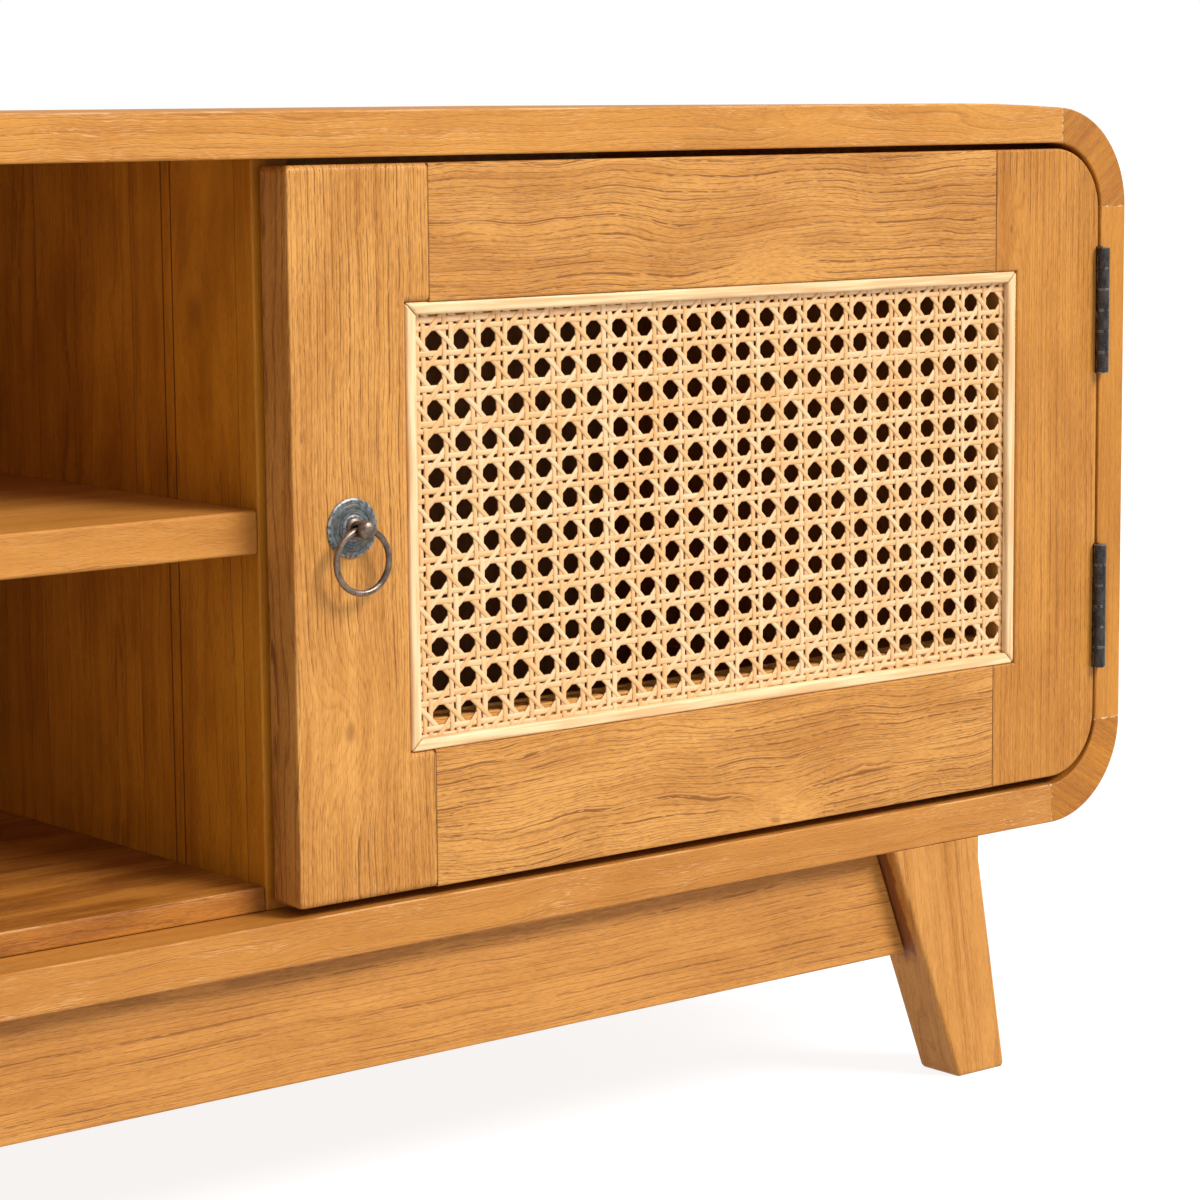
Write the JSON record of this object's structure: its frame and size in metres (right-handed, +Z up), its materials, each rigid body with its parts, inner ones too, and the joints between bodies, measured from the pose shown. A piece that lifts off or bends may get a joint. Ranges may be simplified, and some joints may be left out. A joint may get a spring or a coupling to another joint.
{
  "type": "tv stand with doors",
  "caption": "Low teak media cabinet with rounded ends, an open shelved bay between hinged cane-panelled doors with ring pulls, on splayed tapered legs.",
  "frame": {"origin": "on the floor, under the centre of the bounding box", "axes": "+X along the width to the right as seen from the front, front faces -Y, +Z up"},
  "size_m": [1.5, 0.414, 0.49],
  "materials": {
    "teak": "satin, thin oil or lacquer over open-pored teak",
    "plywood": "matt plywood",
    "rattan_cane": "natural split rattan, slightly glossy skin",
    "black_steel": "blackened, rubbed at the edges",
    "zinc": "plain zinc plating",
    "catch_plastic": "matt brown",
    "patina_plate": "dark blue-grey patina, turned rings",
    "aged_bronze": "aged, burnished where it is handled"
  },
  "bodies": {
    "carcass": {"top_board": "teak", "bottom_board": "teak", "side_left": "teak", "side_right": "teak", "corner_top_left": "teak", "corner_top_right": "teak", "corner_bottom_left": "teak", "corner_bottom_right": "teak", "divider_left": "teak", "divider_right": "teak", "bay_floor": "teak", "shelf": "teak", "leg_front_left": "teak", "leg_front_right": "teak", "leg_back_left": "teak", "leg_back_right": "teak", "apron_front": "teak", "apron_back": "teak", "stretcher_left": "teak", "stretcher_right": "teak", "back_panel": "plywood", "frame_leaf_upper_left": "black_steel", "frame_leaf_upper_right": "black_steel", "frame_leaf_lower_left": "black_steel", "frame_leaf_lower_right": "black_steel", "hinge_pins_left": "black_steel", "hinge_pins_right": "black_steel", "frame_leaf_screws": "black_steel", "back_nails": "zinc", "base_screws": "zinc", "catch_left": "catch_plastic", "catch_right": "catch_plastic"},
    "door_left": {"hinge_stile_left": "teak", "lock_stile_left": "teak", "rail_top_left": "teak", "rail_bottom_left": "teak", "cane_left": "rattan_cane", "bead_left": "rattan_cane", "door_leaf_upper_left": "black_steel", "door_leaf_lower_left": "black_steel", "door_leaf_screws_left": "black_steel", "strike_left": "zinc", "pull_plate_left": "patina_plate", "pull_post_left": "aged_bronze", "pull_nut_left": "zinc"},
    "ring_left": {"pull_ring_left": "aged_bronze"},
    "door_right": {"hinge_stile_right": "teak", "lock_stile_right": "teak", "rail_top_right": "teak", "rail_bottom_right": "teak", "cane_right": "rattan_cane", "bead_right": "rattan_cane", "door_leaf_upper_right": "black_steel", "door_leaf_lower_right": "black_steel", "door_leaf_screws_right": "black_steel", "strike_right": "zinc", "pull_plate_right": "patina_plate", "pull_post_right": "aged_bronze", "pull_nut_right": "zinc"},
    "ring_right": {"pull_ring_right": "aged_bronze"}
  },
  "joints": [
    {"name": "door_left_hinge", "type": "hinge", "parent": "carcass", "child": "door_left", "pos_m": [-0.7312, -0.1956, 0.307], "axis": [0, 0, -1], "range_deg": [0, 180]},
    {"name": "ring_left_swing", "type": "hinge", "parent": "door_left", "child": "ring_left", "pos_m": [-0.2637, -0.201, 0.3114], "axis": [-1, 0, 0], "range_deg": [-8, 170]},
    {"name": "door_right_hinge", "type": "hinge", "parent": "carcass", "child": "door_right", "pos_m": [0.7312, -0.1956, 0.307], "axis": [0, 0, 1], "range_deg": [0, 180]},
    {"name": "ring_right_swing", "type": "hinge", "parent": "door_right", "child": "ring_right", "pos_m": [0.2637, -0.201, 0.3114], "axis": [-1, 0, 0], "range_deg": [-8, 170]}
  ]
}
